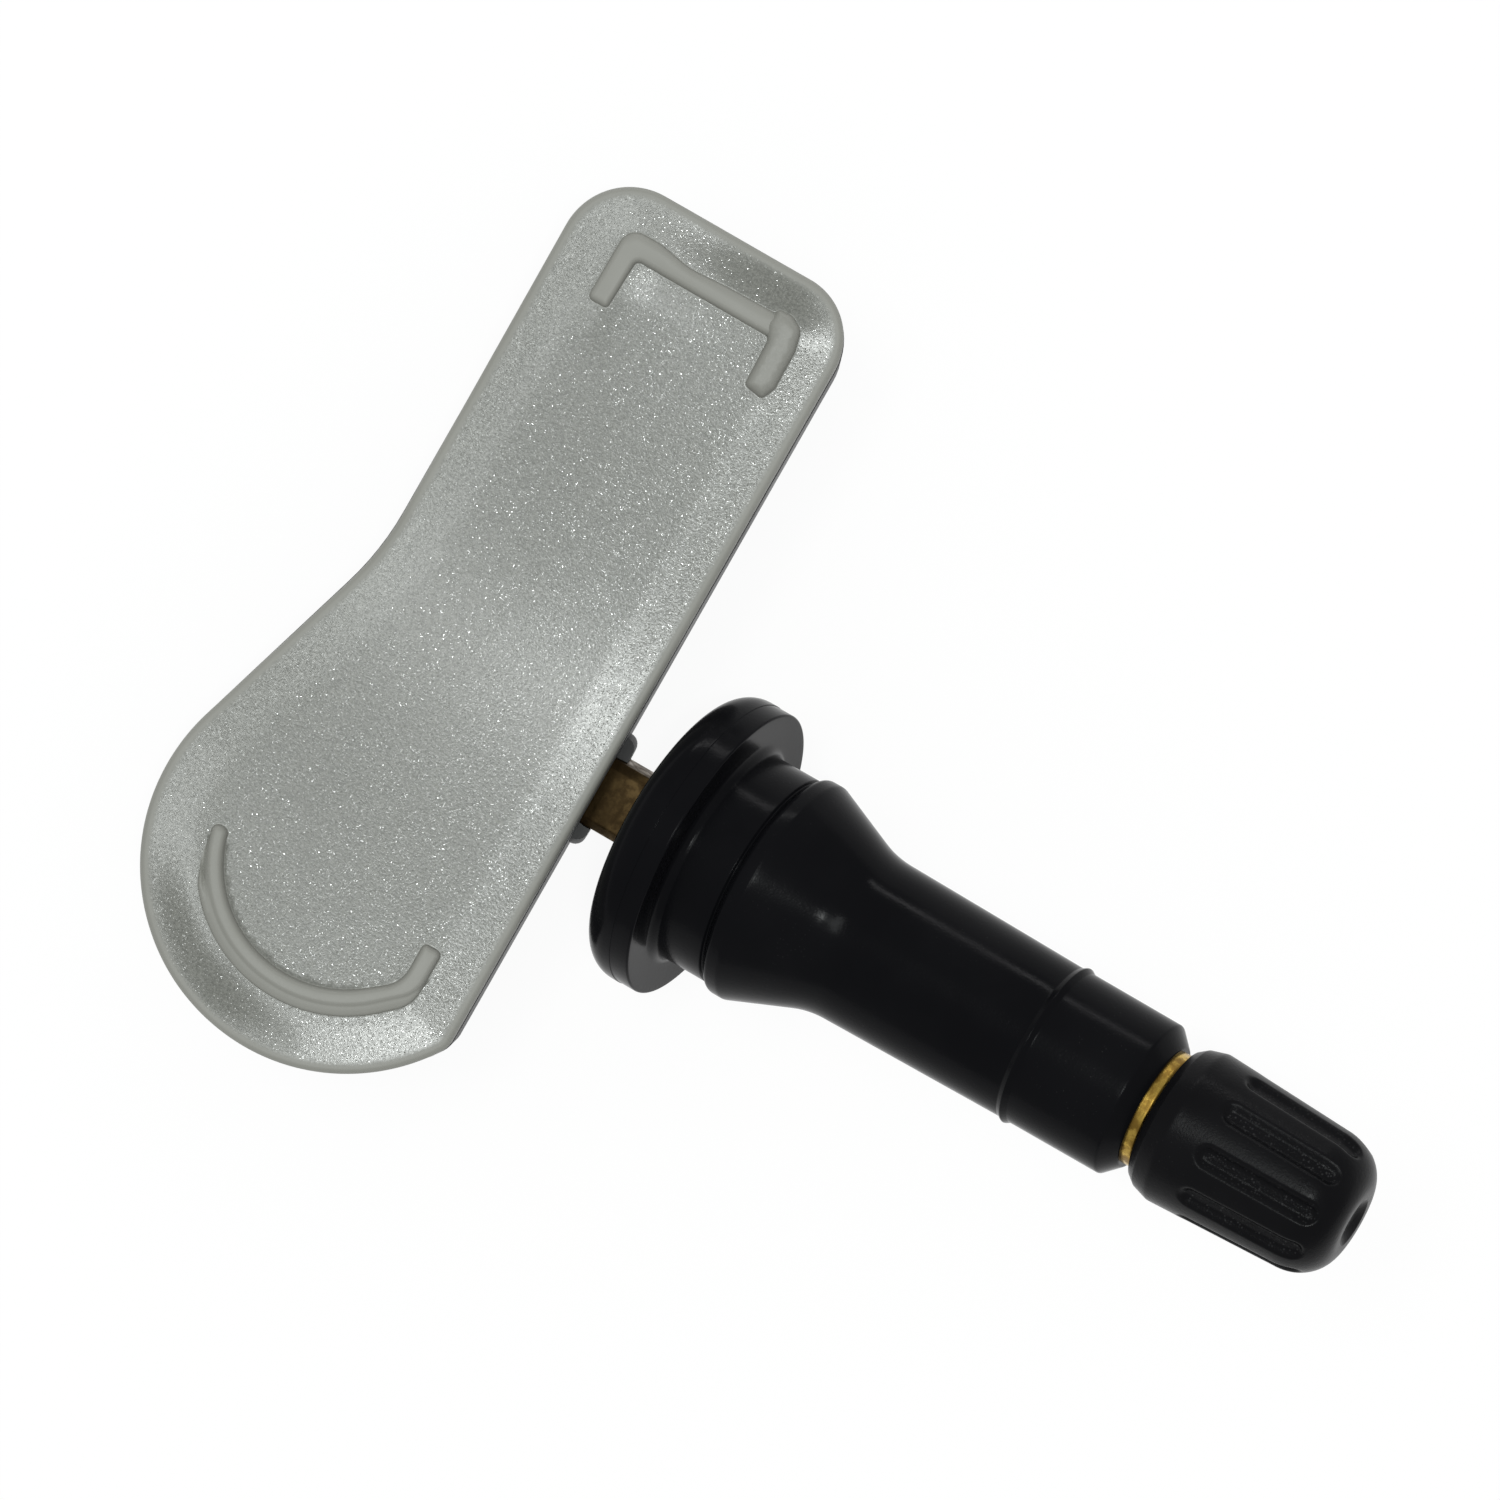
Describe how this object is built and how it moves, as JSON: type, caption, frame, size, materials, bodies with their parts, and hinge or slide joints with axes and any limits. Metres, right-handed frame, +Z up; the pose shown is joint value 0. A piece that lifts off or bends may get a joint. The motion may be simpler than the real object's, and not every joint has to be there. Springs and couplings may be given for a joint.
{
  "type": "tyre pressure sensor",
  "caption": "Tyre pressure sensor: flat housing with a round battery lobe and foot ribs on its lid, on a snap-in rubber valve with a brass stem and a fluted dust cap.",
  "frame": {"origin": "on the valve's axis, in the flange face that seals on the inside of the wheel rim", "axes": "+X outward under the leaning valve, +Y towards the narrow end of the housing, +Z up out of the lid; it lies on the housing's flat back and the flange's rim"},
  "size_m": [0.0759, 0.0575, 0.0269],
  "materials": {
    "lid_plastic": "fine spark-eroded grain, smooth ribs",
    "housing_plastic": "fine moulded grain",
    "brass": "turned, slightly tarnished",
    "rubber": "moulded, smooth",
    "cap_plastic": "moulded, fine grain",
    "steel": "plated",
    "board_laminate": "solder resist",
    "chip_plastic": "moulded",
    "ferrite": "sintered",
    "winding": "enamelled wire",
    "seal_rubber": "moulded"
  },
  "bodies": {
    "sensor": {"sensor_housing": "housing_plastic", "lid": "lid_plastic", "valve_stem": "brass", "valve_rubber": "rubber", "stem_screw": "steel", "core_barrel": "brass", "core_gasket": "seal_rubber", "core_spring": "steel", "circuit_board": "board_laminate", "battery": "steel", "battery_tab_top": "steel", "battery_tab_bottom": "steel", "pressure_chip": "chip_plastic", "port_seal": "seal_rubber", "coil_core": "ferrite", "coil_winding": "winding", "crystal": "steel", "chip_capacitors": "ferrite", "antenna": "brass"},
    "cap_seal": {"cap_liner": "seal_rubber"},
    "cap": {"valve_cap": "cap_plastic"},
    "pin": {"core_pin": "brass", "core_pin_seal": "seal_rubber"}
  },
  "joints": [
    {"name": "cap_rise", "type": "slide", "parent": "sensor", "child": "cap_seal", "axis": [0.9563, 0, 0.2924], "range_m": [0, 0.00476]},
    {"name": "cap_turn", "type": "hinge", "parent": "cap_seal", "child": "cap", "pos_m": [0.03634, 0, 0.01111], "axis": [0.9563, 0, 0.2924], "range_deg": [0, 2160]},
    {"name": "core_pin_press", "type": "slide", "parent": "sensor", "child": "pin", "axis": [-0.9563, 0, -0.2924], "range_m": [0, 0.001], "stiffness_N_per_m": 1500, "deforming": ["core_spring"]}
  ],
  "couplings": [
    {"joint": "cap_turn", "follows": "cap_rise", "rad_per_m": 7913.3}
  ]
}
